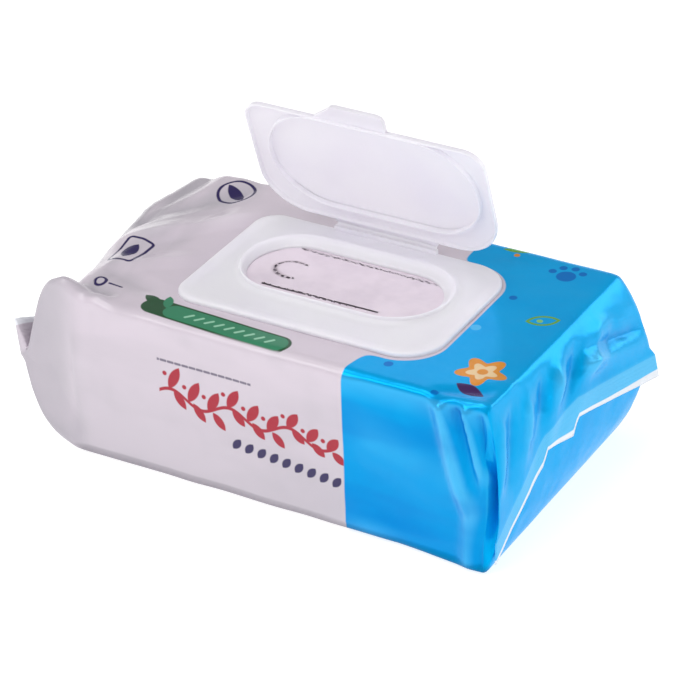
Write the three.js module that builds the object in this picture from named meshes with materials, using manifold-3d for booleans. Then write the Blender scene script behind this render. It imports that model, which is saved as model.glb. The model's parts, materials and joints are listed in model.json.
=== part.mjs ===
// A pack of wet wipes: a gusseted film tube round a stack of wipes, with a moulded flip lid on top.
//
// Millimetres, +Z up. The pack lies on its long seam side, with +X towards the end that is printed
// blue and the lid's hinge along +Y. The origin is under the middle of the whole pack, on the ground.
import * as THREE from 'three';
import * as BufferGeometryUtils from 'three/addons/utils/BufferGeometryUtils.js';
import Module from 'manifold-3d';

const wasm = await Module();
wasm.setup();

// --- Driving dimensions -------------------------------------------------------------------------

// The filled tube between its two end creases.
const BODY_LENGTH = 165;
const BODY_WIDTH = 106;
const BODY_HEIGHT = 66;
const BODY_CENTRE_X = 4;
const EDGE_RADIUS = 4;

// The pressed film of the sealed fins.
const FIN_THICKNESS = 1.2;

// The flip lid's moulding.
const WALL = 1.1;
const GLUE_GAP = 0.3;
const FLANGE = {
  halfX: 51.5,
  halfY: 34.6,
  radius: 15,
  leftRadius: 9.5,
  centreY: -2.6,
  thickness: 1.3,
  bead: 0.3,
};
const OPENING = { halfX: 37.5, halfY: 17.6, centreY: -1.4 };
const RIM = { halfX: 41.2, halfY: 21.4, centreY: 0.5, height: 3.4 };
const HINGE = { y: 32.4, z: 70.6, fromX: -22, toX: 20 };
const LID = {
  halfX: 48.2,
  centreX: -0.9,
  nearV: 3,
  farV: 55.2,
  farRadius: 8,
  nearRadius: 18,
  skirt: 1.2,
  crown: 1.8,
};
const SEAL_RING = { play: 0.5, wall: 0.9, height: 1.6 };
const TAB = { halfWidth: 10.8, centreX: -1.5, rootLeft: -18, depth: 7, thickness: 1.6 };
const OPEN_ANGLE = THREE.MathUtils.degToRad(70.6);

// How finely round shapes are divided.
const CORNER_STEPS = 9;
const EDGE_STEPS = 3;

// --- Shared geometry ----------------------------------------------------------------------------

// A closed mesh from rings of points with the same count. Wrapped rings close on the first one;
// otherwise the first and last rings are filled with a fan about their middle.
function loftRings(rings, wrapped) {
  const count = rings[0].length;
  const points = rings.flat();
  const triangles = [];
  const spans = wrapped ? rings.length : rings.length - 1;
  for (let ring = 0; ring < spans; ring += 1) {
    const here = ring * count;
    const next = ((ring + 1) % rings.length) * count;
    for (let i = 0; i < count; i += 1) {
      const j = (i + 1) % count;
      triangles.push(here + i, here + j, next + j);
      triangles.push(here + i, next + j, next + i);
    }
  }
  if (!wrapped) {
    const last = (rings.length - 1) * count;
    const startMiddle = points.push(middleOf(rings[0])) - 1;
    const endMiddle = points.push(middleOf(rings[rings.length - 1])) - 1;
    for (let i = 0; i < count; i += 1) {
      const j = (i + 1) % count;
      triangles.push(startMiddle, j, i);
      triangles.push(endMiddle, last + i, last + j);
    }
  }
  const geometry = new THREE.BufferGeometry();
  const numbers = points.flatMap((p) => [p.x, p.y, p.z]);
  geometry.setAttribute('position', new THREE.Float32BufferAttribute(numbers, 3));
  geometry.setIndex(triangles);
  return geometry;
}

function middleOf(points) {
  const sum = new THREE.Vector3();
  points.forEach((p) => sum.add(p));
  return sum.divideScalar(points.length);
}

// A rounded rectangle as a ring at height z. The two far corners (+Y) and the two near corners
// may have different radii, unless leftRadius sets both corners on the left.
function roundedRing(shape) {
  const { halfX, halfY, centreX = 0, centreY = 0, farRadius, nearRadius, leftRadius, z } = shape;
  const corners = [
    { signX: 1, signY: 1, radius: farRadius, start: 0 },
    { signX: -1, signY: 1, radius: leftRadius ?? farRadius, start: 90 },
    { signX: -1, signY: -1, radius: leftRadius ?? nearRadius, start: 180 },
    { signX: 1, signY: -1, radius: nearRadius, start: 270 },
  ];
  const outline = [];
  corners.forEach(({ signX, signY, radius, start }) => {
    const cornerX = centreX + signX * (halfX - radius);
    const cornerY = centreY + signY * (halfY - radius);
    for (let step = 0; step <= CORNER_STEPS; step += 1) {
      const angle = THREE.MathUtils.degToRad(start + (90 * step) / CORNER_STEPS);
      const x = cornerX + radius * Math.cos(angle);
      const y = cornerY + radius * Math.sin(angle);
      outline.push(new THREE.Vector3(x, y, z));
    }
  });
  return subdivideStraights(outline);
}

// Adds points along the straight run after each corner arc.
function subdivideStraights(outline) {
  const arc = CORNER_STEPS + 1;
  const ring = [];
  outline.forEach((point, i) => {
    ring.push(point);
    if (i % arc === arc - 1) {
      const next = outline[(i + 1) % outline.length];
      for (let step = 1; step < EDGE_STEPS; step += 1) {
        ring.push(point.clone().lerp(next, step / EDGE_STEPS));
      }
    }
  });
  return ring;
}

function toManifold(geometry) {
  const bare = geometry.clone();
  bare.deleteAttribute('normal');
  bare.deleteAttribute('uv');
  const merged = BufferGeometryUtils.mergeVertices(bare);
  return new wasm.Manifold(new wasm.Mesh({
    numProp: 3,
    vertProperties: new Float32Array(merged.getAttribute('position').array),
    triVerts: new Uint32Array(merged.getIndex().array),
  }));
}

function fromManifold(solid) {
  const mesh = solid.getMesh();
  const geometry = new THREE.BufferGeometry();
  geometry.setAttribute('position', new THREE.BufferAttribute(mesh.vertProperties, 3));
  geometry.setIndex(new THREE.BufferAttribute(mesh.triVerts, 1));
  return geometry;
}

function joined(...geometries) {
  const solids = geometries.map(toManifold);
  return fromManifold(solids.reduce((all, solid) => all.add(solid)));
}

// --- Film pack ----------------------------------------------------------------------------------

const HALF_LENGTH = BODY_LENGTH / 2;
const HALF_WIDTH = BODY_WIDTH / 2;
const END_STEPS = 14;
const FIN_STEPS = 2;
const ACROSS_STEPS = 14;
const SIDE_STEPS = 14;

// Each end is four folds seen from the side, as [distance past the end crease, height]: the upper
// and lower flap along the pack's front and back, whose last point is the fin's free edge. The
// front folds turn into the back ones between turnFrom and turnTo across the pack. The tucks are
// the depths of the side gussets, and the upper flap pillows out by bulge in between.
const LEFT_END = {
  direction: -1,
  turnFrom: -HALF_WIDTH,
  turnTo: -28,
  frontTuck: 4,
  backTuck: 12,
  bulge: 6,
  front: {
    upper: [[0, 66], [5, 66], [13, 62], [18, 52], [20.8, 38.5], [24.3, 50]],
    lower: [[0, 0], [5, 1], [12.5, 5], [18.5, 14], [22.8, 35], [24.5, 50]],
  },
  back: {
    upper: [[0, 66], [6, 63], [12.5, 55], [17, 46], [20, 36], [22, 44]],
    lower: [[0, 0], [3.5, 1], [10.5, 5], [16.5, 14], [21.3, 33], [23, 44]],
  },
};
const RIGHT_END = {
  direction: 1,
  turnFrom: -HALF_WIDTH,
  turnTo: HALF_WIDTH,
  frontTuck: 8,
  backTuck: 12,
  bulge: 0,
  front: {
    upper: [[0, 66], [2, 62], [4, 50], [5, 34], [5.6, 16], [6.4, 8]],
    lower: [[0, 0], [2, 2], [2.8, 5], [3.2, 8], [3.8, 13], [5.1, 8]],
  },
  back: {
    upper: [[0, 66], [6.5, 58], [10.2, 50], [12.2, 42], [14.2, 34], [16.5, 27]],
    lower: [[0, 0], [4, 2], [8, 10], [10, 18], [12, 32], [15.2, 27]],
  },
};

// A point on a fold's side view. Stations 0 to 1 follow the flap and 1 to 2 the straight fin.
function foldPoint(fold, station) {
  const flap = new THREE.SplineCurve(fold.slice(0, -1).map(([x, z]) => new THREE.Vector2(x, z)));
  if (station <= 1) {
    return flap.getPoint(station);
  }
  const tip = new THREE.Vector2(...fold[fold.length - 1]);
  return flap.getPoint(1).lerp(tip, station - 1);
}

// One section of the tube. Each point has its place across the pack, and its lift from the lower
// flap (0) to the upper flap (1).
function sectionOutline(height, frontTuck, backTuck) {
  const radius = Math.min(EDGE_RADIUS, height * 0.45);
  const outline = [];
  const addSide = (side, tuck) => {
    for (let step = 0; step <= SIDE_STEPS; step += 1) {
      const turn = Math.cos((Math.PI * step) / SIDE_STEPS) * side;
      const fromEdge = (1 - Math.abs(turn)) * (height / 2);
      const inCorner = Math.max(0, radius - fromEdge);
      const rounding = radius - Math.sqrt(radius ** 2 - inCorner ** 2);
      const y = side * (HALF_WIDTH - rounding - tuck * (1 - Math.abs(turn)));
      outline.push({ y, lift: (1 - turn) / 2 });
    }
  };
  const addFace = (side) => {
    const reach = HALF_WIDTH - radius;
    for (let step = 1; step < ACROSS_STEPS; step += 1) {
      const y = side * reach * (1 - (2 * step) / ACROSS_STEPS);
      outline.push({ y, lift: side > 0 ? 1 : 0 });
    }
  };
  addSide(1, backTuck);
  addFace(1);
  addSide(-1, frontTuck);
  addFace(-1);
  return outline;
}

// One ring of an end. Station 0 is the end crease, 1 the fin's root and 2 its free edge.
function endRing(end, station) {
  const upperFront = foldPoint(end.front.upper, station);
  const lowerFront = foldPoint(end.front.lower, station);
  const upperBack = foldPoint(end.back.upper, station);
  const lowerBack = foldPoint(end.back.lower, station);
  const height = Math.max(FIN_THICKNESS, upperFront.distanceTo(lowerFront));
  const along = station < 1 ? Math.sin(Math.PI * station) : 0;
  const outline = sectionOutline(height, end.frontTuck * along, end.backTuck * along);
  return outline.map(({ y, lift }) => {
    const turned = THREE.MathUtils.smoothstep(y, end.turnFrom, end.turnTo);
    const upper = upperFront.clone().lerp(upperBack, turned);
    const lower = lowerFront.clone().lerp(lowerBack, turned);
    const pillow = end.bulge * along * lift * Math.cos((Math.PI * y) / BODY_WIDTH);
    const side = lower.lerp(upper, lift);
    const x = BODY_CENTRE_X + end.direction * (HALF_LENGTH + side.x + pillow);
    return new THREE.Vector3(x, y, side.y);
  });
}

function filmPack() {
  const stations = [];
  for (let step = 0; step <= END_STEPS; step += 1) {
    stations.push(step / END_STEPS);
  }
  for (let step = 1; step <= FIN_STEPS; step += 1) {
    stations.push(1 + step / FIN_STEPS);
  }
  const left = stations.map((station) => endRing(LEFT_END, station)).reverse();
  const right = stations.map((station) => endRing(RIGHT_END, station));
  return loftRings([...left, ...right], false);
}

// --- Lid base -----------------------------------------------------------------------------------

const BASE_Z = BODY_HEIGHT + GLUE_GAP;
const FLANGE_TOP = BASE_Z + FLANGE.thickness;
const RIM_TOP = BASE_Z + RIM.height;

// A ring between the opening's edge (0) and the rim's outer wall (1), or outset beyond that wall.
function rimRing(across, z, outset = 0) {
  const halfY = THREE.MathUtils.lerp(OPENING.halfY, RIM.halfY, across) + outset;
  return roundedRing({
    halfX: THREE.MathUtils.lerp(OPENING.halfX, RIM.halfX, across) + outset,
    halfY,
    centreY: THREE.MathUtils.lerp(OPENING.centreY, RIM.centreY, across),
    farRadius: halfY - 0.4,
    nearRadius: halfY - 0.4,
    z,
  });
}

function flangeRing(inset, z) {
  const radius = FLANGE.radius - inset;
  return roundedRing({
    halfX: FLANGE.halfX - inset,
    halfY: FLANGE.halfY - inset,
    centreY: FLANGE.centreY,
    farRadius: radius,
    nearRadius: radius,
    leftRadius: FLANGE.leftRadius - inset,
    z,
  });
}

// The frame is one thin wall, followed from the opening's edge up the funnel, over the rim and
// out to the flange's beaded edge, then back underneath.
function baseFrame() {
  const beadTop = FLANGE_TOP + FLANGE.bead;
  return loftRings([
    rimRing(0, BASE_Z),
    rimRing(0.03, BASE_Z + 0.9),
    rimRing(0.45, RIM_TOP - 0.7),
    rimRing(0.7, RIM_TOP - 0.15),
    rimRing(0.85, RIM_TOP),
    rimRing(0.96, RIM_TOP - 0.2),
    rimRing(1, RIM_TOP - 0.7),
    rimRing(1, FLANGE_TOP + 0.6, 0.2),
    rimRing(1, FLANGE_TOP + 0.3, 1.4),
    rimRing(1, FLANGE_TOP, 3.2),
    flangeRing(2.2, FLANGE_TOP),
    flangeRing(1.6, beadTop),
    flangeRing(0.7, beadTop),
    flangeRing(0.1, beadTop - 0.4),
    flangeRing(0, BASE_Z),
    flangeRing(2, BASE_Z),
    rimRing(1, BASE_Z, 2),
    rimRing(0.9, BASE_Z + 0.6),
    rimRing(0.86, RIM_TOP - WALL - 0.2),
    rimRing(0.66, RIM_TOP - WALL - 0.3),
    rimRing(0.26, BASE_Z + WALL),
    rimRing(0.2, BASE_Z),
  ].reverse(), true);
}

// The raised land along the back edge that the hinge web springs from.
function hingeLand() {
  const width = HINGE.toX - HINGE.fromX;
  const depth = 1.8;
  const foot = BASE_Z + 0.2;
  const height = HINGE.z - 1 - foot;
  const land = new THREE.BoxGeometry(width, depth, height);
  land.translate((HINGE.fromX + HINGE.toX) / 2, HINGE.y - 0.4 - depth / 2, foot + height / 2);
  return land;
}

// --- Flip lid -----------------------------------------------------------------------------------

// The lid is drawn shut about its hinge line: Y runs from the hinge towards the tab as -v, and Z
// is height above the hinge line. It is then swung open.
const LID_TOP = 0.6;
const LID_UNDER = LID_TOP - WALL;

// The lid's outline, inset or shrunk towards its middle.
function lidRing(inset, z, shrink = 1) {
  return roundedRing({
    halfX: (LID.halfX - inset) * shrink,
    centreX: LID.centreX,
    halfY: ((LID.farV - LID.nearV) / 2 - inset) * shrink,
    centreY: -(LID.farV + LID.nearV) / 2,
    farRadius: (LID.nearRadius - inset) * shrink,
    nearRadius: (LID.farRadius - inset) * shrink,
    z,
  });
}

// One thin wall: from the middle of the crowned top outwards, down the skirt, and back under.
function lidShell() {
  const crowns = [0.15, 0.4, 0.65, 0.85];
  const crownHeight = (shrink) => LID.crown * (1 - shrink ** 2);
  const top = crowns.map((shrink) => lidRing(0, LID_TOP + crownHeight(shrink), shrink));
  const under = crowns.map((shrink) => lidRing(1.1, LID_UNDER + crownHeight(shrink), shrink));
  return loftRings([
    ...top,
    lidRing(0.6, LID_TOP),
    lidRing(0, LID_TOP - 0.6),
    lidRing(0, LID_UNDER - LID.skirt),
    lidRing(1, LID_UNDER - LID.skirt),
    lidRing(1.1, LID_UNDER),
    ...under.reverse(),
  ].reverse(), false);
}

// The oval wall under the lid that snaps round the rim.
function sealRing() {
  const wallRing = (outset, z) => {
    const halfY = RIM.halfY + SEAL_RING.play + outset;
    return roundedRing({
      halfX: RIM.halfX + SEAL_RING.play + outset,
      halfY,
      centreY: RIM.centreY - HINGE.y,
      farRadius: halfY - 0.4,
      nearRadius: halfY - 0.4,
      z,
    });
  };
  const top = LID_UNDER + 0.4;
  const foot = LID_UNDER - SEAL_RING.height;
  return loftRings([
    wallRing(0, foot),
    wallRing(0, top),
    wallRing(SEAL_RING.wall, top),
    wallRing(SEAL_RING.wall, foot),
  ].reverse(), true);
}

// The finger tab, wider at its root on one side.
function fingerTab() {
  const tipV = LID.farV + TAB.depth;
  const rootV = LID.farV - 0.8;
  const outline = new THREE.Shape();
  outline.moveTo(TAB.rootLeft, -rootV);
  outline.lineTo(TAB.rootLeft, -LID.farV - 0.2);
  outline.lineTo(-TAB.halfWidth - 1, -tipV + 1.6);
  outline.quadraticCurveTo(-TAB.halfWidth, -tipV, -TAB.halfWidth + 2, -tipV);
  outline.lineTo(TAB.halfWidth - 1.5, -tipV);
  outline.quadraticCurveTo(TAB.halfWidth, -tipV, TAB.halfWidth, -tipV + 1.5);
  outline.lineTo(TAB.halfWidth, -rootV);
  const tab = new THREE.ExtrudeGeometry(outline, {
    depth: TAB.thickness,
    bevelEnabled: false,
    curveSegments: 4,
  });
  tab.translate(TAB.centreX, 0, LID_TOP - TAB.thickness);
  return tab;
}

// The strap between the lid's edge and the hinge web.
function hingeStrap() {
  const width = HINGE.toX - HINGE.fromX;
  const near = 0.5;
  const far = LID.nearV + 0.6;
  const strap = new THREE.BoxGeometry(width, far - near, WALL);
  strap.translate((HINGE.fromX + HINGE.toX) / 2, -(near + far) / 2, (LID_TOP + LID_UNDER) / 2);
  return strap;
}

// --- Assembly -----------------------------------------------------------------------------------

function material(colour, roughness) {
  return new THREE.MeshStandardMaterial({ color: colour, roughness, metalness: 0 });
}

const pack = new THREE.Group();

const film = new THREE.Mesh(filmPack(), material(0xdfdbe2, 0.3));
film.name = 'film_pack';
pack.add(film);

const base = new THREE.Mesh(joined(baseFrame(), hingeLand()), material(0xeceaf2, 0.4));
base.name = 'lid_base';
base.position.x = BODY_CENTRE_X;
pack.add(base);

const hinge = new THREE.Group();
hinge.position.set(BODY_CENTRE_X, HINGE.y, HINGE.z);
hinge.rotation.x = -OPEN_ANGLE;
const lidSolid = joined(lidShell(), sealRing(), fingerTab(), hingeStrap());
const lid = new THREE.Mesh(lidSolid, material(0xe9e7f1, 0.4));
lid.name = 'flip_lid';
hinge.add(lid);
pack.add(hinge);

export default pack;
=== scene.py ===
"""The looks of a wet wipes pack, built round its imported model: wrinkled printed film, a milky flip
lid standing open on its hinge web, and the perforated film panel in the opening."""

import json
import math

import bmesh
import bpy
import numpy as np
from mathutils import Matrix, Vector


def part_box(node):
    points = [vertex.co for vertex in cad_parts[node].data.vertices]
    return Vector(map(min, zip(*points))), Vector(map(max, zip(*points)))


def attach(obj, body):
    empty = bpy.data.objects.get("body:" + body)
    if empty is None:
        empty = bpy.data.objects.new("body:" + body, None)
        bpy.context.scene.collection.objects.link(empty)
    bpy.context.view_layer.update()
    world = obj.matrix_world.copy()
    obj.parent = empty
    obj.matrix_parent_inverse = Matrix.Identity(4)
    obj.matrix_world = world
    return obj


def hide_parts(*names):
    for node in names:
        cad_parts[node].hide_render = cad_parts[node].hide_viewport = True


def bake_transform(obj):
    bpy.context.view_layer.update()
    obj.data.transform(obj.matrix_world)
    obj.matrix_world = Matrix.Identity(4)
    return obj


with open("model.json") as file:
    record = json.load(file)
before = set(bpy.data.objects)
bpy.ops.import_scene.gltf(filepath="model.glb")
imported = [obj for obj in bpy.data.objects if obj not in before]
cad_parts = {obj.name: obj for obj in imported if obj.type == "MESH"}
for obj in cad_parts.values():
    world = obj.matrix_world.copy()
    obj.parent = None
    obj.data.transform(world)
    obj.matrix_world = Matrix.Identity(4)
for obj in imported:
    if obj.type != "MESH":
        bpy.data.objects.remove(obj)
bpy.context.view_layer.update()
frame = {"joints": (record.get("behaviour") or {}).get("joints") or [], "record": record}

# --- Places and sizes, in millimetres, taken from the frame ---

MM = 0.001
FILM_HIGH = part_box("film_pack")[1] / MM
HINGE = frame["joints"][0]
PACK_X = frame["record"]["mounts"][0]["pos_m"][0] / MM
HINGE_Y = HINGE["pos_m"][1] / MM
HINGE_Z = HINGE["pos_m"][2] / MM
OPEN_ANGLE = math.radians(-HINGE["range_deg"][0])

HEIGHT = FILM_HIGH.z
HALF_WIDTH = FILM_HIGH.y
# Half the filled body's length, between the two end creases.
HALF_LENGTH = 82.5
FULL_TURN = 2 * math.pi


def ramp(value):
    """The value kept between 0 and 1."""
    return np.clip(value, 0.0, 1.0)


def smoothstep(value, low, high):
    t = ramp((value - low) / (high - low))
    return t * t * (3 - 2 * t)


def bell(value, centre, width):
    return np.exp(-(((value - centre) / width) ** 2))


def mix(a, b, share):
    return a + (b - a) * share


# --- Meshes ---


def new_object(name, points, faces, material, smooth=True):
    """A mesh object from points in millimetres about the middle of the pack's foot."""
    shifted = np.asarray(points, float) + (PACK_X, 0, 0)
    mesh = bpy.data.meshes.new(name)
    mesh.from_pydata((shifted * MM).tolist(), [], faces)
    mesh.materials.append(material)
    mesh.polygons.foreach_set("use_smooth", [smooth] * len(mesh.polygons))
    mesh.update()
    obj = bpy.data.objects.new(name, mesh)
    bpy.context.scene.collection.objects.link(obj)
    return obj


def loft_faces(rings, count, wrapped):
    """Quads between rings of count points. Unless wrapped, the two end rings are filled."""
    faces = []
    spans = rings if wrapped else rings - 1
    for ring in range(spans):
        here = ring * count
        after = ((ring + 1) % rings) * count
        for i in range(count):
            j = (i + 1) % count
            faces.append((here + i, here + j, after + j, after + i))
    if not wrapped:
        last = (rings - 1) * count
        faces.append(tuple(reversed(range(count))))
        faces.append(tuple(range(last, last + count)))
    return faces


def loft(name, rings, material, wrapped):
    count = len(rings[0])
    return new_object(name, np.concatenate(rings), loft_faces(len(rings), count, wrapped), material)


def apply_modifiers(obj):
    graph = bpy.context.evaluated_depsgraph_get()
    mesh = bpy.data.meshes.new_from_object(obj.evaluated_get(graph))
    obj.modifiers.clear()
    obj.data = mesh


def unite(obj, *others):
    """Joins closed meshes into obj as one solid."""
    for other in others:
        union = obj.modifiers.new("union", "BOOLEAN")
        union.operation = "UNION"
        union.solver = "EXACT"
        union.object = other
    apply_modifiers(obj)
    for other in others:
        bpy.data.objects.remove(other)


def fix_normals(obj):
    shape = bmesh.new()
    shape.from_mesh(obj.data)
    bmesh.ops.recalc_face_normals(shape, faces=shape.faces)
    shape.to_mesh(obj.data)
    shape.free()


def smooth_by_angle(obj, degrees):
    obj.data.polygons.foreach_set("use_smooth", [True] * len(obj.data.polygons))
    obj.data.set_sharp_from_angle(angle=math.radians(degrees))


# --- Node arithmetic ---


def unary(operation):
    """A method of Field that works on the field alone."""
    return lambda self: self.make(operation, self)


def binary(operation):
    """A method of Field that works on the field and another field or number."""
    return lambda self, other: self.make(operation, self, other)


class Field:
    """A number that varies over a surface, with the arithmetic that patterns are drawn with."""

    __add__ = __radd__ = binary("ADD")
    __sub__ = binary("SUBTRACT")
    __mul__ = __rmul__ = binary("MULTIPLY")
    __truediv__ = binary("DIVIDE")
    high = binary("MAXIMUM")
    angle = binary("ARCTAN2")
    abs = unary("ABSOLUTE")
    sin = unary("SINE")
    cos = unary("COSINE")
    sqrt = unary("SQRT")

    def __init__(self, tree, socket):
        self.tree = tree
        self.socket = socket

    def make(self, operation, *values, clamp=False):
        node = self.tree.nodes.new("ShaderNodeMath")
        node.operation = operation
        node.use_clamp = clamp
        for place, value in enumerate(values):
            if isinstance(value, Field):
                self.tree.links.new(value.socket, node.inputs[place])
            else:
                node.inputs[place].default_value = value
        return Field(self.tree, node.outputs[0])

    def __rsub__(self, other):
        return self.make("SUBTRACT", other, self)

    def clamp(self):
        """The field kept between 0 and 1."""
        return self.make("ADD", self, 0.0, clamp=True)

    def saw(self, period):
        """From -period / 2 to period / 2, over and over."""
        return self.make("WRAP", self, period / 2, -period / 2)

    def step(self, low, high):
        """0 below low and 1 above high, with a smooth rise between."""
        node = self.tree.nodes.new("ShaderNodeMapRange")
        node.interpolation_type = "SMOOTHSTEP"
        node.inputs["From Min"].default_value = low
        node.inputs["From Max"].default_value = high
        self.tree.links.new(self.socket, node.inputs["Value"])
        return Field(self.tree, node.outputs["Result"])


class Shade:
    """One material and the nodes that its colour, gloss and relief are made of."""

    def __init__(self, name):
        self.material = bpy.data.materials.new(name)
        self.material.use_nodes = True
        self.tree = self.material.node_tree
        self.shader = self.tree.nodes["Principled BSDF"]

    def node(self, kind, **settings):
        made = self.tree.nodes.new(kind)
        for key, value in settings.items():
            setattr(made, key, value)
        return made

    def link(self, start, end):
        self.tree.links.new(start, end)

    def set(self, **values):
        for key, value in values.items():
            self.shader.inputs[key.replace("_", " ")].default_value = value

    def attribute(self, name):
        return self.node("ShaderNodeAttribute", attribute_name=name)

    def split(self, socket):
        parts = self.node("ShaderNodeSeparateXYZ")
        self.link(socket, parts.inputs[0])
        return [Field(self.tree, parts.outputs[i]) for i in range(3)]

    def place(self, scale=1.0, stretch=(1, 1, 1)):
        """A surface point in millimetres at rest, to lay noise on."""
        scaled = self.node("ShaderNodeVectorMath", operation="MULTIPLY")
        self.link(self.attribute("rest_mm").outputs["Vector"], scaled.inputs[0])
        scaled.inputs[1].default_value = [scale * s for s in stretch]
        return scaled.outputs[0]

    def noise(self, size, detail=2, stretch=(1, 1, 1)):
        """Cloudy noise from 0 to 1 whose features are about size millimetres."""
        made = self.node("ShaderNodeTexNoise")
        made.inputs["Scale"].default_value = 1.0
        made.inputs["Detail"].default_value = detail
        self.link(self.place(1 / size, stretch), made.inputs["Vector"])
        return Field(self.tree, made.outputs["Fac"])

    def over(self, under, rgb, mask):
        """Colour rgb laid on under where mask is 1. Both colours may be a socket."""
        made = self.node("ShaderNodeMix", data_type="RGBA")
        self.link(mask.socket, made.inputs["Factor"])
        for value, place in ((under, "A"), (rgb, "B")):
            target = [i for i in made.inputs if i.name == place and i.type == "RGBA"][0]
            if isinstance(value, bpy.types.NodeSocket):
                self.link(value, target)
            else:
                target.default_value = linear(value)
        return [o for o in made.outputs if o.type == "RGBA"][0]

    def layered(self, under, layers):
        """Lays colours on one after another, from a list of (colour, mask)."""
        for rgb, mask in layers:
            under = self.over(under, rgb, mask)
        return under

    def drive(self, name, value):
        """Feeds a colour socket or a number field into one of the shader's inputs."""
        self.link(value.socket if isinstance(value, Field) else value, self.shader.inputs[name])

    def relief(self, height, distance_mm, strength=1.0):
        bump = self.node("ShaderNodeBump")
        bump.inputs["Distance"].default_value = distance_mm * MM
        bump.inputs["Strength"].default_value = strength
        self.link(height.socket, bump.inputs["Height"])
        self.link(bump.outputs["Normal"], self.shader.inputs["Normal"])


def linear(rgb):
    """A Blender colour from sRGB numbers out of 255."""
    shares = [c / 255 for c in rgb]
    return [c / 12.92 if c <= 0.04045 else ((c + 0.055) / 1.055) ** 2.4 for c in shares] + [1]


def keep_on_points(obj, name, values, kind):
    """Stores a number or a vector on each point, for the object's material to read."""
    attribute = obj.data.attributes.new(name, kind, "POINT")
    field = "vector" if kind == "FLOAT_VECTOR" else "value"
    attribute.data.foreach_set(field, np.asarray(values, np.float32).ravel())


def keep_rest_place(obj):
    """Stores each point's place at rest, in millimetres, for the noise of its material."""
    places = np.zeros(len(obj.data.vertices) * 3, np.float32)
    obj.data.vertices.foreach_get("co", places)
    keep_on_points(obj, "rest_mm", places / MM, "FLOAT_VECTOR")


# --- Printed shapes, as distances from their outlines in millimetres ---


def hypotenuse(x, y):
    return (x * x + y * y).sqrt()


def disc(at, centre, radius):
    return hypotenuse(at[0] - centre[0], at[1] - centre[1]) - radius


def bar(at, start, end, radius):
    """A round-ended bar."""
    x, y = at
    run = (end[0] - start[0], end[1] - start[1])
    length_squared = run[0] ** 2 + run[1] ** 2
    share = (((x - start[0]) * run[0] + (y - start[1]) * run[1]) / length_squared).clamp()
    return hypotenuse(x - start[0] - share * run[0], y - start[1] - share * run[1]) - radius


def leaf(at, root, tip, half_width):
    """A pointed leaf: what two equal circles share."""
    run = Vector((tip[0] - root[0], tip[1] - root[1]))
    half = run.length / 2
    radius = (half**2 + half_width**2) / (2 * half_width)
    side = Vector((-run.y, run.x)).normalized() * (radius - half_width)
    middle = Vector(((root[0] + tip[0]) / 2, (root[1] + tip[1]) / 2))
    return disc(at, middle + side, radius).high(disc(at, middle - side, radius))


def flower(at, centre, radius, petals, turn=0.0):
    x, y = at[0] - centre[0], at[1] - centre[1]
    around = (y.angle(x) * petals + turn).cos()
    return hypotenuse(x, y) - (around * 0.2 + 0.8) * radius


def panel(at, centre, half, corner):
    """A rectangle with round corners."""
    out_x = ((at[0] - centre[0]).abs() - (half[0] - corner)).high(0.0)
    out_y = ((at[1] - centre[1]).abs() - (half[1] - corner)).high(0.0)
    return hypotenuse(out_x, out_y) - corner


def outline(distance, half_line):
    return distance.abs() - half_line


def inked(distance, soft=0.25):
    """1 inside an outline and 0 outside it."""
    return (distance * -1).step(-soft, soft)


# --- The film's folds ---
# The film is a tube of rings along the pack. Each end runs from its end crease (station 0) along
# an upper and a lower flap to the fin's root (station 1), and on to the fin's free edge (2).

FLAP_STEPS = 44
FIN_STEPS = 10
BODY_STEPS = 128
FACE_STEPS = 82
SIDE_STEPS = 50
CORNER_STEPS = 5
EDGE_RADIUS = 4.0
FIN_THICKNESS = 0.7

# Side views of the left end's folds, as (distance past the end crease, height). The last point is
# the fin's free edge.
LEFT_UPPER_FRONT = [(0, 66), (5, 66), (13, 62), (18, 52), (21.4, 39), (25.2, 51.5)]
LEFT_LOWER_FRONT = [(0, 0), (5, 1), (12.5, 5), (19, 14), (25, 36), (25.8, 51.5)]
LEFT_UPPER_BACK = [(0, 66), (6, 63), (12.5, 55), (17, 46), (20, 36), (22, 44)]
LEFT_LOWER_BACK = [(0, 0), (3.5, 1), (10.5, 5), (16.5, 14), (21.3, 33), (23, 44)]

# The right end's fin hangs crumpled: (place across, distance past the crease, height) of its root
# and of its free edge, which jogs where the fin is pleated.
RIGHT_ROOT = [(-53, 4.6, 14), (-41, 4.6, 22), (-21, 6.6, 40), (0, 9.0, 45), (53, 14.6, 35.5)]
RIGHT_TIP = [(-53, 4.4, 5), (-41, 4.2, 12), (-21.4, 6.4, 28), (-19.6, 6.8, 33.5)]
RIGHT_TIP += [(-2.6, 8.9, 30.2), (-0.6, 9.5, 37.2), (53, 16.4, 27)]

# How far each end's front and back gusset is tucked in.
LEFT_TUCKS = (3.0, 14.0)
RIGHT_TUCKS = (9.0, 13.0)
# How far the middle of the left end is blown out.
LEFT_PILLOW = 8


def fold_point(fold, station):
    """A point of a fold: a smooth curve through its flap, then straight to the fin's free edge."""
    flap = [np.array(p, float) for p in fold[:-1]]

    def on_flap(t):
        spot = min(max(t, 0.0), 1.0) * (len(flap) - 1)
        i = min(int(spot), len(flap) - 2)
        f = spot - i
        before, a = flap[max(i - 1, 0)], flap[i]
        b, after = flap[i + 1], flap[min(i + 2, len(flap) - 1)]
        turn_a, turn_b = (b - before) / 2, (after - a) / 2
        cubic = (2 * a - 2 * b + turn_a + turn_b) * f**3
        square = (3 * b - 3 * a - 2 * turn_a - turn_b) * f**2
        return cubic + square + turn_a * f + a

    if station <= 1:
        return on_flap(station)
    return mix(on_flap(1.0), np.array(fold[-1], float), station - 1)


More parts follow.
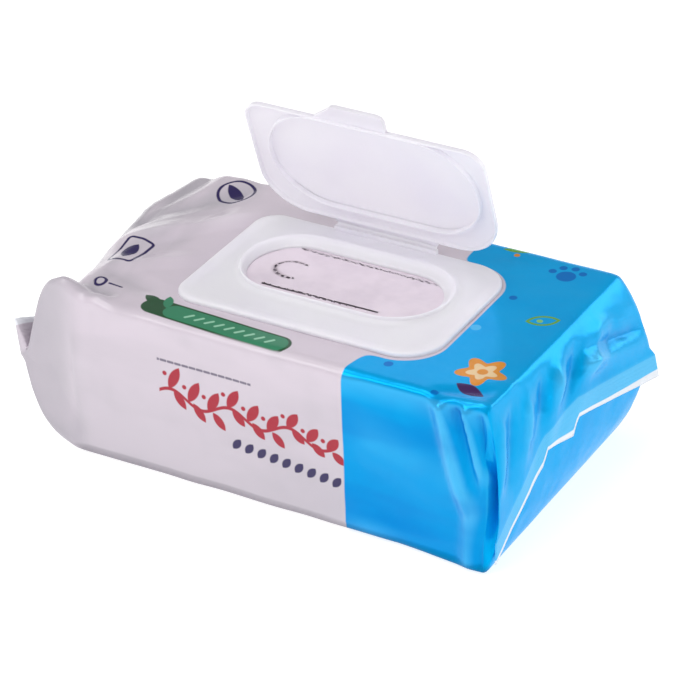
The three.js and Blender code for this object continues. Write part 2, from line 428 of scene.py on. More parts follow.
def left_end(y, station):
    """Upper and lower fold points (out, height) of the left end, at places y across the pack."""
    back = smoothstep(y, -HALF_WIDTH - 6, -32)
    flap = min(station, 1.0)
    pillow = LEFT_PILLOW * math.sin(math.pi * flap) * bell(y, 20, 30)
    sides = []
    for front, behind in ((LEFT_UPPER_FRONT, LEFT_UPPER_BACK), (LEFT_LOWER_FRONT, LEFT_LOWER_BACK)):
        a, b = fold_point(front, station), fold_point(behind, station)
        sides += [mix(a[0], b[0], back), mix(a[1], b[1], back)]
    upper_x, upper_z, lower_x, lower_z = sides
    return upper_x + pillow, upper_z, lower_x, lower_z


def bezier(t, start, middle, end):
    return (1 - t) ** 2 * start + 2 * t * (1 - t) * middle + t**2 * end


def across(places, column, y):
    return np.interp(y, [p[0] for p in places], [p[column] for p in places])


def right_end(y, station):
    """Upper and lower fold points (out, height) of the right end, at places y across the pack."""
    back = (y + HALF_WIDTH) / (2 * HALF_WIDTH)
    flap = min(station, 1.0)
    fin = max(station - 1.0, 0.0)
    root_x, root_z = across(RIGHT_ROOT, 1, y), across(RIGHT_ROOT, 2, y)
    tip_x, tip_z = across(RIGHT_TIP, 1, y), across(RIGHT_TIP, 2, y)
    upper_x = mix(bezier(flap, 0.0, 4.5 + 4.5 * back, root_x), tip_x, fin)
    upper_z = mix(bezier(flap, HEIGHT, 62 - 4 * back, root_z), tip_z, fin)
    lower_x = mix(bezier(flap, 0.0, 3.0 + 6 * back, root_x - 0.7), tip_x - 0.7, fin)
    lower_z = mix(bezier(flap, 0.0, 3.0 + 9 * back, root_z), tip_z, fin)
    return upper_x, upper_z, lower_x, lower_z


def section(height, front_tuck, back_tuck):
    """One ring: places across the pack, and lifts from the lower (0) to the upper (1) flap. The
    ring starts at the back's upper edge and goes down the back."""
    radius = min(EDGE_RADIUS, 0.45 * height)
    arc = np.linspace(0, math.pi / 2, CORNER_STEPS + 1)
    corner = radius * (1 - np.cos(arc))
    wall = radius + (height - 2 * radius) * np.linspace(0, 1, SIDE_STEPS + 1)[1:-1]
    drop = np.concatenate([corner, wall, height - corner[::-1]])
    inset = np.concatenate([radius * (1 - np.sin(arc)), 0 * wall, radius * (1 - np.sin(arc))[::-1]])
    fold = 1 - np.abs(1 - 2 * drop / height)
    reach = HALF_WIDTH - radius
    face = reach * np.linspace(1, -1, FACE_STEPS + 1)[1:-1]
    back_y = HALF_WIDTH - inset - back_tuck * fold
    front_y = -(HALF_WIDTH - inset - front_tuck * fold)
    y = np.concatenate([back_y, face, front_y[::-1], face[::-1]])
    down = np.concatenate([drop, np.full(face.shape, height), drop[::-1], 0 * face])
    return y, 1 - down / height


def end_rings(end, direction, tucks):
    """The rings of an end from its crease outwards, as arrays of (x, y, z, lift, along, station)."""
    flap = np.linspace(0, 1, FLAP_STEPS + 1)
    fin = 1 + np.linspace(0, 1, FIN_STEPS + 1)[1:]
    rings = []
    along = HALF_LENGTH
    last = None
    for station in np.concatenate([flap, fin]):
        ux, uz, lx, lz = (float(v[0]) for v in end(np.zeros(1), station))
        height = max(FIN_THICKNESS, math.hypot(ux - lx, uz - lz))
        tuck = math.sin(math.pi * min(station, 1.0))
        y, lift = section(height, tucks[0] * tuck, tucks[1] * tuck)
        upper_x, upper_z, lower_x, lower_z = end(y, station)
        out = mix(lower_x, upper_x, lift)
        z = mix(lower_z, upper_z, lift)
        if last is not None:
            along = along + np.hypot(out - last[0], z - last[1])
        last = (out, z)
        x = direction * (HALF_LENGTH + out)
        flat = np.zeros(y.shape)
        rings.append(
            np.stack([x, y, z, lift, flat + direction * along, flat + direction * station], 1)
        )
    return rings


def film_rings():
    left = end_rings(left_end, -1, LEFT_TUCKS)[::-1]
    right = end_rings(right_end, 1, RIGHT_TUCKS)
    y, lift = section(HEIGHT, 0, 0)
    body = []
    for x in np.linspace(-HALF_LENGTH, HALF_LENGTH, BODY_STEPS + 1)[1:-1]:
        flat = np.full(y.shape, x)
        body.append(np.stack([flat, y, lift * HEIGHT, lift, flat, 0 * y], 1))
    return np.stack(left + body + right)


# --- Wrinkles ---

# Creases as (start, end, reach either side, height), in millimetres of film: along the pack (or
# past the end crease) and across it, or up the front.
RIGHT_FLAP_CREASES = [
    ((93, 12), (106, 56), 5, -1.7),
    ((98, 8), (111, 54), 5, 1.6),
    ((104, 6), (116, 52), 4, -1.5),
    ((86, 30), (114, -4), 8, 2.2),
    ((85, 10), (116, -14), 6, -2.1),
    ((84, -4), (124, -22), 6, 2.3),
    ((85, -16), (126, -28), 5, -1.8),
    ((84, -27), (126, -36), 5, 1.9),
    ((84, -38), (122, -44), 4, -1.5),
    ((84, -46), (118, -50), 4, 1.4),
]
FRONT_CREASES = [
    ((62, 74), (77, 24), 5.5, 3.4),
    ((77, 30), (76, -6), 5, 2.2),
    ((67, 78), (78, 26), 4.5, -2.4),
    ((71, 76), (82, 38), 3, 2.8),
    ((78, 76), (83, 46), 2.5, -1.6),
    ((20, 3), (74, 10), 6, 0.5),
    ((-70, 60), (-92, 20), 14, 0.6),
    ((-82, 8), (-96, 34), 7, -0.7),
    ((34, 40), (60, 34), 10, 0.35),
]
TOP_CREASES = [
    ((60, -50), (80, -42), 4, -0.8),
    ((66, -52), (83, -50), 3, 0.8),
    ((70, -38), (84, -34), 5, 0.5),
    ((-64, 58), (-78, -28), 7, -1.0),
    ((-96, -12), (-54, 30), 8, 1.8),
    ((-98, 8), (-64, 46), 7, -1.6),
    ((-92, -32), (-58, -8), 7, 1.2),
    ((-84, 58), (-98, 6), 6, -1.4),
    ((-92, 56), (-104, 20), 6, 1.4),
    ((-58, -36), (-92, -26), 7, -1.3),
    ((-70, -44), (-90, -40), 5, -1.6),
]

# A fold this high counts as a full ridge or valley in the film's painted highlights and painted shade.
FOLD_HEIGHT = 2.4

POCKET_DEPTH = 0.35
POCKET_HALF_X, POCKET_HALF_Y, POCKET_Y = 40, 19.5, -2.7
EAR_HEIGHT, EAR_X, EAR_REACH = 6.8, -90.5, 14
BACK_CORNER_HEIGHT = 2.4
FOOT_TUCK = 2.2
FOOT_FLARE = 3.0
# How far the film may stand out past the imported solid's front and back.
FRONT_ROOM, BACK_ROOM = 3.0, 0.8
# How wide the two end creases are eased, and how many times.
CREASE_WIDTH, CREASE_ROUNDS = 3.5, 5


def tent(distance, reach):
    """1 on a line, falling straight to 0 at reach on both sides."""
    return ramp(1 - np.abs(distance) / reach)


def crease(u, v, start, end, reach):
    """A sharp fold along a line from start to end, fading out past both."""
    run = np.array([end[0] - start[0], end[1] - start[1]], float)
    length = np.hypot(*run)
    run /= length
    along = (u - start[0]) * run[0] + (v - start[1]) * run[1]
    aside = (u - start[0]) * run[1] - (v - start[1]) * run[0]
    share = along / length
    fade = smoothstep(share, -0.12, 0.18) * (1 - smoothstep(share, 0.82, 1.12))
    return tent(aside, reach) * fade


def crumple(u, v, size, seed, octaves=3):
    """Crossing straight folds of random direction, between about -1 and 1."""
    rng = np.random.default_rng(seed)
    total = np.zeros_like(u)
    for octave in range(octaves):
        for _ in range(4):
            heading = rng.uniform(0, math.pi)
            phase = rng.uniform(0, 1)
            period = size * rng.uniform(0.7, 1.6) / 1.8**octave
            sway = np.sin(FULL_TURN * (u * math.sin(heading) - v * math.cos(heading)) / (3.1 * size))
            spot = (u * math.cos(heading) + v * math.sin(heading)) / period + phase + 0.25 * sway
            total += (np.abs(spot % 1 - 0.5) * 4 - 1) * 0.5**octave / 3
    return total


def grid_normals(points):
    forward = np.gradient(points, axis=0)
    around = np.roll(points, -1, 1) - np.roll(points, 1, 1)
    normal = np.cross(around, forward)
    length = np.linalg.norm(normal, axis=2, keepdims=True)
    normal = normal / np.maximum(length, 1e-9)
    middle = points.mean(axis=1, keepdims=True)
    outward = np.sign(((points - middle) * normal).sum(axis=(1, 2)))
    return normal * outward[:, None, None]


def share_fin_moves(moves, y, lift, station):
    """Makes the fin's under film move with the upper film that it is sealed to."""
    shared = moves.copy()
    for ring in np.flatnonzero(np.abs(station[:, 0]) > 0.8):
        upper = np.flatnonzero(lift[ring] > 0.999)[::-1]
        bond = smoothstep(np.abs(station[ring, 0]), 0.82, 0.99) * (1 - lift[ring] ** 4)
        for axis in range(3):
            sealed = np.interp(y[ring], y[ring, upper], moves[ring, upper, axis])
            shared[ring, :, axis] = mix(moves[ring, :, axis], sealed, bond)
    return shared


def ease_creases(points, along):
    """Rounds the film over the two end creases."""
    near = bell(np.abs(along), HALF_LENGTH, CREASE_WIDTH)[..., None]
    for _ in range(CREASE_ROUNDS):
        eased = points.copy()
        eased[1:-1] = (points[:-2] + 2 * points[1:-1] + points[2:]) / 4
        points = mix(points, eased, near)
    return points


def creased(creases, u, v):
    """How far a list of creases stands out, at places (u, v)."""
    return sum(depth * crease(u, v, start, end, reach) for start, end, reach, depth in creases)


def folds(y, z, lift, along, station):
    """How far the film's creases and soft waves stand out, and each point's share of the front
    between the two end creases and of the top."""
    height = lift * HEIGHT
    top = smoothstep(lift, 0.93, 0.99)
    front = smoothstep(-y, HALF_WIDTH - 16, HALF_WIDTH - 4) * (1 - top) * smoothstep(lift, 0, 0.05)
    right = smoothstep(along, HALF_LENGTH - 1, HALF_LENGTH + 4)
    left = smoothstep(-along, HALF_LENGTH - 1, HALF_LENGTH + 4)
    ends = np.maximum(right, left)
    body = 1 - ends

    # The right flap's facets start below its end crease, and fade on the fin and at the back.
    facets = right * top * smoothstep(along, 85, 97)
    facets *= 1 - 0.8 * smoothstep(station, 0.66, 0.95)
    facets *= 1 - 0.6 * smoothstep(y, 42, 53)
    out = creased(RIGHT_FLAP_CREASES, along, y) * facets
    out += creased(FRONT_CREASES, along, height) * front
    out += creased(TOP_CREASES, along, y) * top

    # Small random folds, weaker on the fins and by the long edges.
    calm = 1 - 0.7 * smoothstep(np.abs(station), 0.75, 1)
    calm *= 1 - 0.7 * smoothstep(np.abs(y), 42, 52)
    calm *= smoothstep(np.abs(along), 84, 94)
    out += 0.35 * crumple(along, y + z, 24, 11) * ends * calm
    out += 0.12 * crumple(along, y + z, 30, 5, 2) * body

    # Soft waves on the top's left end and on the front.
    out += 0.5 * np.sin(along / 9 + 1.2 * np.sin(y / 14)) * bell(along, -74, 16) * top
    out += 0.35 * np.sin(height / 8 + along / 30) * front * body
    slanting = 0.6 * np.sin((height + 0.4 * along) / 7.5)
    out += slanting * smoothstep(along, 24, 40) * front * body
    return out, front * body, top


def wrinkle(grid):
    """The grid's points with the film's creases, sags and the ear at its front left corner, and
    how far each point stands out (to 1) or in (to -1) on a fold."""
    points = ease_creases(grid[..., :3].copy(), grid[..., 4])
    x, y, z = points[..., 0], points[..., 1], points[..., 2]
    lift, along, station = grid[..., 3], grid[..., 4], grid[..., 5]
    height = lift * HEIGHT
    push, front, top = folds(y, z, lift, along, station)
    fold = push / FOLD_HEIGHT

    # The front is tucked under towards its foot.
    push -= FOOT_TUCK * ramp(1 - height / 34) ** 2 * front
    moves = grid_normals(points) * push[..., None]
    points += share_fin_moves(moves, y, lift, station)

    # The film inside the opening is pressed down on the wipes, under the perforated panel.
    inside = smoothstep(POCKET_HALF_X - np.abs(x), 0, 1.5)
    inside *= smoothstep(POCKET_HALF_Y - np.abs(y - POCKET_Y), 0, 1.5)
    z -= POCKET_DEPTH * inside * top

    # The ear: the front left corner of the film stands up in a peak above the wipes.
    peak = smoothstep(EAR_REACH - np.abs(x - EAR_X), 0, 12) + 0.3 * bell(x, -74, 5)
    near_edge = smoothstep(-y, 39, 51) * smoothstep(height, 20, 64)
    z += EAR_HEIGHT * peak * near_edge * (1 - smoothstep(np.abs(station), 0.55, 1.0))

    # The back left corner is blown up a little.
    back_corner = bell(x, -66, 15) * smoothstep(y, 22, 46) * smoothstep(height, 40, 64)
    z += BACK_CORNER_HEIGHT * back_corner
    np.maximum(z, 0.0, out=z)

    # The foot flares forwards by the right corner.
    foot = ramp((x - 48) / 30) * ramp((86 - x) / 4) * ramp(1 - height / 22)
    foot *= smoothstep(-y, 30, 52)
    y -= FOOT_FLARE * foot
    np.clip(y, -HALF_WIDTH - FRONT_ROOM, HALF_WIDTH + BACK_ROOM, out=y)
    return points, fold


def fin_edge(first, count, outward):
    """Closes a fin's free edge: quads from each upper point to the lower point under it."""
    side = 2 * (CORNER_STEPS + 1) + SIDE_STEPS - 1
    middle = side // 2
    faces = []
    for i in range(middle, middle + count // 2):
        quad = [i % count, (i + 1) % count, (side - 2 - i) % count, (side - 1 - i) % count]
        corners = list(dict.fromkeys(first + corner for corner in quad))
        faces.append(tuple(corners if outward else corners[::-1]))
    return faces


def film_skin(material):
    grid = film_rings()
    rings, count = grid.shape[:2]
    points, fold = wrinkle(grid)
    faces = loft_faces(rings, count, wrapped=False)[:-2]
    faces += fin_edge(0, count, False) + fin_edge((rings - 1) * count, count, True)
    obj = new_object("film_skin", points.reshape(-1, 3), faces, material)
    lift, along, station = grid[..., 3], grid[..., 4], grid[..., 5]
    keep_on_points(obj, "film_mm", np.stack([along, grid[..., 1], lift * HEIGHT], 2), "FLOAT_VECTOR")
    keep_on_points(obj, "station", station, "FLOAT")
    keep_on_points(obj, "fold", fold, "FLOAT")
    keep_rest_place(obj)
    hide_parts("film_pack")
    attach(obj, "pack")
    return obj


# --- Film material ---

WHITE_FILM = (217, 206, 217)
RIDGE_HIGHLIGHT_FILM = (238, 231, 239)
GREY_FILM = (164, 163, 170)
CORNER_SHADOW_GREY = (132, 132, 140)
FOOT_SHADOW_GREY = (112, 110, 118)
POCKET_SHADE_GREY = (176, 166, 176)
BARE_FILM = (240, 242, 248)
BLUE = (0, 166, 232)
DEEP_BLUE = (0, 118, 204)
LIT_TOP_BLUE = (0, 180, 250)
LIT_END_BLUE = (0, 186, 255)
FOOT_SHADOW_BLUE = (0, 84, 128)
PALE_BLUE = (90, 196, 248)
FIN_BLUE = (120, 206, 246)
BLUE_SHINE = (70, 214, 255)
GREEN = (50, 132, 96)
DARK_GREEN = (30, 78, 46)
LEAF_GREEN = (118, 176, 62)
SEED_GREEN = (150, 206, 176)
SPOT_GREEN = (150, 210, 120)
RED = (170, 20, 46)
PURPLE = (40, 28, 84)
PETAL_PURPLE = (78, 40, 96)
DASH_GREY = (120, 112, 130)
ORANGE = (236, 152, 44)
CREAM = (250, 214, 160)


class FilmPlaces:
    """Where a point of the film is, and the soft areas for its colours, wear, painted highlights and
    painted shade.
    """

    def __init__(self, shade):
        film_mm = shade.attribute("film_mm").outputs["Vector"]
        self.along, self.across, self.height = shade.split(film_mm)
        self.station = Field(shade.tree, shade.attribute("station").outputs["Fac"])
        fold = Field(shade.tree, shade.attribute("fold").outputs["Fac"])
        # Painted highlight on fold ridges and painted shade in fold valleys.
        self.ridge = fold.step(0.05, 1.0)
        self.valley = (fold * -1).step(0.05, 1.0)
        self.on_top = self.height.step(HEIGHT - 0.98, HEIGHT - 0.28)
        near = self.across * -1
        self.on_front = near.step(HALF_WIDTH - 1.0, HALF_WIDTH - 0.2)
        self.cloud = shade.noise(22)
        layers = shade.noise(15, stretch=(0.3, 1, 1))
        self.layers = layers.step(0.42, 0.68) * self.on_front
        # A painted shadow along the front's foot, fading out on the end flaps.
        foot = (1 - self.height.step(0.3, 4.5)) * near.step(47.5, 50.5)
        self.foot = foot * (1 - self.station.abs().step(0.02, 0.4))


def film_material():
    """White film with a blue right end, glossy, with crimped ribs on both fins."""
    shade = Shade("printed_film")
    film = FilmPlaces(shade)
    sealed = film.station.abs()
    blue_side = blue_field(film)
    # The cut edge of each fin shows bare film.
    bare_edge = (sealed + film.across.step(16, 54) * 0.14).step(1.78, 1.84)
    blue_and_edge = [(blue_film(shade, film), blue_side), (BARE_FILM, bare_edge)]
    shade.drive("Base Color", shade.layered(white_film(shade, film), blue_and_edge))
    shade.drive("Specular Tint", shade.over((255, 255, 255), BLUE_SHINE, blue_side))
    shade.drive("Metallic", blue_side * (1 - bare_edge) * 0.24)
    shade.drive("Roughness", shade.noise(14) * 0.09 + 0.17)
    shade.set(IOR=1.5)

    # The film turned under at the ends and the foot catches less light.
    underside = ((1 - film.height.step(2, 30)) * sealed.step(0.02, 0.1)).high(film.foot)
    shade.drive("Specular IOR Level", 0.5 - underside * 0.38)
    ribs = (sealed * (FULL_TURN * 6)).sin() * sealed.step(1.02, 1.1)
    grain = shade.noise(0.6)
    shade.relief(shade.noise(9) + grain * 0.03 + ribs * 0.12, 0.7, 0.35)
    return shade.material


def white_film(shade, film):
    """The colour of the white film: greyer where thin or empty, painted shade in folds, a corner, the
    pocket and low on the front, painted highlights on ridges, and printed.
    """
    left, near = film.along * -1, film.across * -1
    streaks = shade.noise(9, stretch=(1.0, 0.25, 0.3))
    # Painted shade: the front darker towards its foot.
    shaded_low_front = film.on_front * (1 - film.height.step(-10, 72))
    empty_shaded_ear = left.step(76, 92) * near.step(30, 50) * (1 - film.station.abs().step(0.9, 1.1))
    thin_top = left.step(58, 84) * film.on_top * streaks.step(0.3, 0.7)
    back_corner = left.step(82, 100) * film.across.step(-16, 24) * film.on_top
    pocket = panel((film.along, film.across), (0, POCKET_Y), (37.5, 17), 16)
    wear_and_painted_light = [
        (GREY_FILM, film.cloud.step(0.45, 0.8) * 0.15),
        # Painted shade low on the front.
        (GREY_FILM, shaded_low_front * 0.38),
        # The ear is greyer where its film is empty, and has painted shade where it turns away from the
        # light.
        (GREY_FILM, empty_shaded_ear * 0.5),
        (GREY_FILM, thin_top * 0.4),
        # Painted shadow in streaks at the back left corner of the top.
        (CORNER_SHADOW_GREY, back_corner * streaks.step(0.2, 0.65) * 0.45),
        # Painted shadow along the foot.
        (FOOT_SHADOW_GREY, film.foot * 0.75),
        (GREY_FILM, film.layers * 0.12),
        # Painted shade in fold valleys and painted highlight on fold ridges.
        (GREY_FILM, film.valley * 0.4),
        (RIDGE_HIGHLIGHT_FILM, film.ridge * 0.4),
        # Painted shade on the film sunk under the perforated panel.
        (POCKET_SHADE_GREY, inked(pocket, 1.0) * film.on_top),
    ]
    return shade.layered(WHITE_FILM, wear_and_painted_light + white_side_print(film))


def blue_film(shade, film):
    """The colour of the blue end: painted light on its top and end flaps, painted highlights on ridges
    and the front's top edge, painted shade in folds and low on the front, and printed.
    """
    # Painted highlight along the front's top edge.
    edge_highlight = film.height.step(54, 65) * (1 - film.on_top) * film.on_front
    wear_and_painted_light = [
        (DEEP_BLUE, film.cloud.step(0.4, 0.8) * 0.3),
        # Painted light: the blue top lighter.
        (LIT_TOP_BLUE, film.on_top * (1 - film.along.step(80, 90)) * 0.5),
        # Painted shade: the blue front darker towards its foot.
        (DEEP_BLUE, film.on_front * (1 - film.height.step(-30, 80)) * 0.55),
        # Painted light on the end flaps.
        (LIT_END_BLUE, film.station.step(0.02, 0.2) * 0.3),
        # Painted highlight on fold ridges and the front's top edge, and painted shade in fold valleys.
        (PALE_BLUE, (film.ridge * 0.7).high(edge_highlight * 0.45)),
        (DEEP_BLUE, film.valley * 0.6),
        # Painted shadow along the foot.
        (FOOT_SHADOW_BLUE, film.foot * 0.75),
        (DEEP_BLUE, film.layers * 0.4),
    ]
    fin = [(FIN_BLUE, film.station.step(0.97, 1.05) * 0.55)]
    return shade.layered(BLUE, wear_and_painted_light + blue_side_print(film) + fin)


def blue_field(film):
    """1 on the blue end of the pack. On top its edge curves round the lid's white surround."""
    edge = film.along - 27.4 - film.across.step(-52, -38) * 1.8
    surround = panel((film.along, film.across), (0, -2.6), (52.6, 36.2), 16)
    rounded = edge.make("SMOOTH_MIN", edge, surround, 7.0)
    on_sides = edge.step(-0.3, 0.3)
    return on_sides + film.on_top * (rounded.step(-0.3, 0.3) - on_sides)


# The garland on the front: the height of its stem above the foot and how it waves, both in
# millimetres, and the place along the pack that its slope turns about.
GARLAND_HEIGHT, GARLAND_SLOPE, GARLAND_MIDDLE = 35.2, -0.055, -12
WAVE_HEIGHT, WAVE_LENGTH = 2.4, 24
GARLAND_LEAVES = 9
BEADS = 9


def white_side_print(film):
    """The print on the white film, as layers of (colour, mask)."""
    along = film.along
    top, front = (along, film.across), (along, film.height)
    layers = []

    def on_top(rgb, *shapes):
        layers.extend((rgb, inked(shape) * film.on_top) for shape in shapes)

    def on_front(rgb, *shapes):
        layers.extend((rgb, inked(shape) * film.on_front) for shape in shapes)

    # A green banner with pale seeds, and two leaves at its left end.
    on_top(DARK_GREEN, bar(top, (-52.5, -44.6), (-1, -47.2), 5.0))
    on_top(GREEN, bar(top, (-44, -45.1), (-1.4, -47.2), 4.2))
    down_banner = film.across + along * 0.05 + 47.2
    seed = bar((along.saw(4.2), down_banner), (-1.0, -1.2), (1.0, 1.2), 0.55)
    on_top(SEED_GREEN, seed.high((along + 21).abs() - 18.5))
    on_top(DARK_GREEN, leaf(top, (-50, -44), (-60, -38.5), 2.2))
    on_top(GREEN, leaf(top, (-48, -44), (-51, -36.5), 1.8))

    # Line marks by the left end.
    frame_mark = outline(panel(top, (-82, -14), (5.0, 8.5), 1.5), 0.55)
    on_top(PURPLE, frame_mark, leaf(top, (-82, -20), (-82, -9), 2.6))
    ring_mark = outline(disc(top, (-70, 41), 7.0), 0.6)
    on_top(PURPLE, ring_mark, leaf(top, (-75, 44), (-65, 37), 2.4))
    key_mark = outline(disc(top, (-80, -37.5), 2.2), 0.6)
    on_top(PURPLE, key_mark, bar(top, (-76, -37.5), (-71, -37.5), 0.5))

    # A row of hair-fine dashes above a red garland.
    dash = bar((along.saw(3.0), film.height - 50.2), (-0.95, 0), (0.95, 0), 0.5)
    on_front(DASH_GREY, dash.high((along + 28.3).abs() - 19.3))
    slope = (along - GARLAND_MIDDLE) * GARLAND_SLOPE
    wave = (along * (FULL_TURN / WAVE_LENGTH)).sin() * WAVE_HEIGHT
    stem = outline(film.height - GARLAND_HEIGHT - slope - wave, 0.7)
    on_front(RED, stem.high((along - GARLAND_MIDDLE).abs() - 35))
    for i in range(GARLAND_LEAVES):
        x = -43 + 8 * i
        crest = WAVE_HEIGHT * math.sin(FULL_TURN * x / WAVE_LENGTH) + GARLAND_HEIGHT
        crest += GARLAND_SLOPE * (x - GARLAND_MIDDLE)
        rise = 9.5 - 0.45 * i
        upper = leaf(front, (x, crest), (x + 4.5, crest + rise), 2.0)
        lower = leaf(front, (x + 2, crest), (x + 7, crest - rise * 0.72), 1.7)
        on_front(RED, upper, lower, disc(front, (x - 1.6, crest + rise * 0.62), 0.9))

    # A chain of purple beads below the garland.
    for i in range(BEADS):
        x = -15.5 + 5 * i
        level = 24 - 0.11 * (x + 15.5)
        on_front(PURPLE, leaf(front, (x - 1.6, level - 2.2), (x + 1.6, level + 2.2), 1.5))
    return layers


FLOWER = (70.5, -31.5)
PAW = (67.0, 40.5)


def blue_side_print(film):
    """The print on the blue film's top, as layers of (colour, mask)."""
    top = (film.along, film.across)
    shapes = [
        (ORANGE, flower(top, FLOWER, 9.6, 5, 0.6)),
        (CREAM, flower(top, FLOWER, 5.8, 5, 0.6)),
        (ORANGE, disc(top, FLOWER, 1.9)),
        (PETAL_PURPLE, leaf(top, (66, -42), (78, -45.5), 2.6)),
        (LEAF_GREEN, outline(leaf(top, (68.8, 5.8), (78.2, 11.6), 2.9), 0.55)),
        (SPOT_GREEN, disc(top, (72.6, 8.0), 1.1)),
        (DEEP_BLUE, disc(top, PAW, 3.6)),
        (PALE_BLUE, disc(top, (54.8, -6.0), 1.9)),
        (DEEP_BLUE, disc(top, (57.1, 18.3), 1.5)),
        (DEEP_BLUE, disc(top, (39.6, -41.5), 1.7)),
        (DEEP_BLUE, disc(top, (61.8, -50.0), 1.4)),
        (LEAF_GREEN, leaf(top, (38, 48.5), (49, 51.5), 1.8)),
        (ORANGE, disc(top, (44.5, 46.5), 1.1)),
    ]
    for i in range(4):
        angle = math.radians(40 + 42 * i)
        toe = (PAW[0] + 6.2 * math.cos(angle), PAW[1] + 6.2 * math.sin(angle))
        shapes.append((DEEP_BLUE, disc(top, toe, 1.5)))
    return [(rgb, inked(shape) * film.on_top) for rgb, shape in shapes]


# --- The lid's moulding ---

WALL = 1.1
GLUE_GAP = 0.3
BASE_Z = HEIGHT + GLUE_GAP
FLANGE = {"half_x": 51.5, "half_y": 34.6, "centre_y": -2.6, "radius": 15, "left_radius": 9.5}
FLANGE_TOP = BASE_Z + 1.3
OPENING = {"half_x": 37.5, "half_y": 17.6, "centre_y": -1.4}
RIM = {"half_x": 41.2, "half_y": 21.4, "centre_y": 0.5, "top": BASE_Z + 3.4}
# Where the land, the strap and the web between them begin and end along the pack.
HINGE_FROM, HINGE_TO = -22, 20
LID = {"half_x": 48.2, "centre_x": -0.9, "near": 3, "far": 55.2, "near_radius": 18, "far_radius": 8}
LID_TOP = 0.6
LID_UNDER = LID_TOP - WALL
LID_CROWN = 1.8
SKIRT_FOOT = LID_UNDER - 1.2
SEAL_GAP, SEAL_WALL = 0.5, 0.9
TAB_X = -1.5
WEB_THICKNESS = 0.28
ARC_STEPS = 22
STRAIGHT_STEPS = 10


def rounded_ring(half_x, half_y, centre_y, back_radius, front_radius, z):
    """A rounded rectangle. The radii of its corners towards +Y and -Y are single numbers, or pairs
    for the right and the left corner."""
    back_right, back_left = np.broadcast_to(back_radius, 2)
    front_right, front_left = np.broadcast_to(front_radius, 2)
    corners = [(1, 1, back_right), (-1, 1, back_left), (-1, -1, front_left), (1, -1, front_right)]
    arcs = []
    for quarter, (sign_x, sign_y, radius) in enumerate(corners):
        angle = math.pi / 2 * (quarter + np.linspace(0, 1, ARC_STEPS + 1))
        x = sign_x * (half_x - radius) + radius * np.cos(angle)
        y = centre_y + sign_y * (half_y - radius) + radius * np.sin(angle)
        arcs.append(np.stack([x, y], 1))
    ring = []
    for arc, after in zip(arcs, arcs[1:] + arcs[:1]):
        share = np.linspace(0, 1, STRAIGHT_STEPS + 1)[1:-1, None]
        ring += [arc, mix(arc[-1], after[0], share)]
    flat = np.concatenate(ring)
    return np.column_stack([flat, np.full(len(flat), float(z))])


def oval_ring(half_x, half_y, centre_y, z):
    """A ring whose ends are almost half circles."""
    return rounded_ring(half_x, half_y, centre_y, half_y - 0.4, half_y - 0.4, z)


def rim_ring(share, z, outset=0.0):
    """A ring between the opening's edge (0) and the rim's outer wall (1), or beyond that wall."""
    half_x, half_y, centre_y = (
        mix(OPENING[size], RIM[size], share) for size in ("half_x", "half_y", "centre_y")
    )
    return oval_ring(half_x + outset, half_y + outset, centre_y, z)


def flange_ring(inset, z):
    half_x, half_y = FLANGE["half_x"] - inset, FLANGE["half_y"] - inset
    radii = (FLANGE["radius"] - inset, FLANGE["left_radius"] - inset)
    return rounded_ring(half_x, half_y, FLANGE["centre_y"], radii, radii, z)


def block(name, low, high, material):
    """A box between two corners."""
    xs, ys, zs = zip(low, high)
    points = [(x, y, z) for x in xs for y in ys for z in zs]
    faces = [(0, 1, 3, 2), (4, 6, 7, 5), (0, 4, 5, 1), (2, 3, 7, 6), (0, 2, 6, 4), (1, 5, 7, 3)]
    return new_object(name, points, faces, material, smooth=False)


def lid_frame(material):
    """The base moulding: up the funnel from the opening, over the rim and out to the flange."""
    top = RIM["top"]
    bead = FLANGE_TOP + 0.3
    # Each ring is a share, outset or inset, then its height or how far it is above or below another.
    funnel = [(0, BASE_Z), (0.01, BASE_Z + 0.5), (0.05, BASE_Z + 0.95), (0.2, BASE_Z + 1.35)]
    rim = [(0.4, 0.95), (0.56, 0.45), (0.7, 0.15), (0.82, 0), (0.92, 0.05), (0.98, 0.3), (1, 0.75)]
    rim_foot = [(0.05, 0.9), (0.5, 0.5), (1.2, -0.1), (2.2, -0.45), (3.2, -0.5)]
    flange = [(5.2, 0.7), (4.0, 0.4), (3.0, 0.12), (2.0, 0), (1.2, 0), (0.6, 0.1), (0.2, 0.4), (0, 0.8)]
    under_rim = [(0.9, BASE_Z + 0.6), (0.86, top - WALL - 0.2), (0.66, top - WALL - 0.3)]
    under_rim += [(0.26, BASE_Z + WALL), (0.2, BASE_Z)]
    rings = [rim_ring(share, z) for share, z in funnel]
    rings += [rim_ring(share, top - drop) for share, drop in rim]
    rings += [rim_ring(1, FLANGE_TOP + rise, outset) for outset, rise in rim_foot]
    rings += [flange_ring(inset, bead - drop) for inset, drop in flange]
    rings += [flange_ring(inset, HEIGHT + 0.05) for inset in (0, 2)]
    rings += [rim_ring(1, BASE_Z, 2)] + [rim_ring(share, z) for share, z in under_rim]
    obj = loft("lid_frame", rings[::-1], material, wrapped=True)
    land_back = HINGE_Y - 0.4
    low = (HINGE_FROM, land_back - 1.8, BASE_Z + 0.2)
    unite(obj, block("hinge_land", low, (HINGE_TO, land_back, HINGE_Z - 1), material))
    return finish_moulding(obj, "lid_base", "pack")


def finish_moulding(obj, node, body):
    bevel = obj.modifiers.new("worn_edges", "BEVEL")
    bevel.width = 0.25 * MM
    bevel.segments = 2
    bevel.limit_method = "ANGLE"
    bevel.angle_limit = math.radians(50)
    apply_modifiers(obj)
    smooth_by_angle(obj, 38)
    keep_rest_place(obj)
    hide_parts(node)
    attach(obj, body)
    return obj


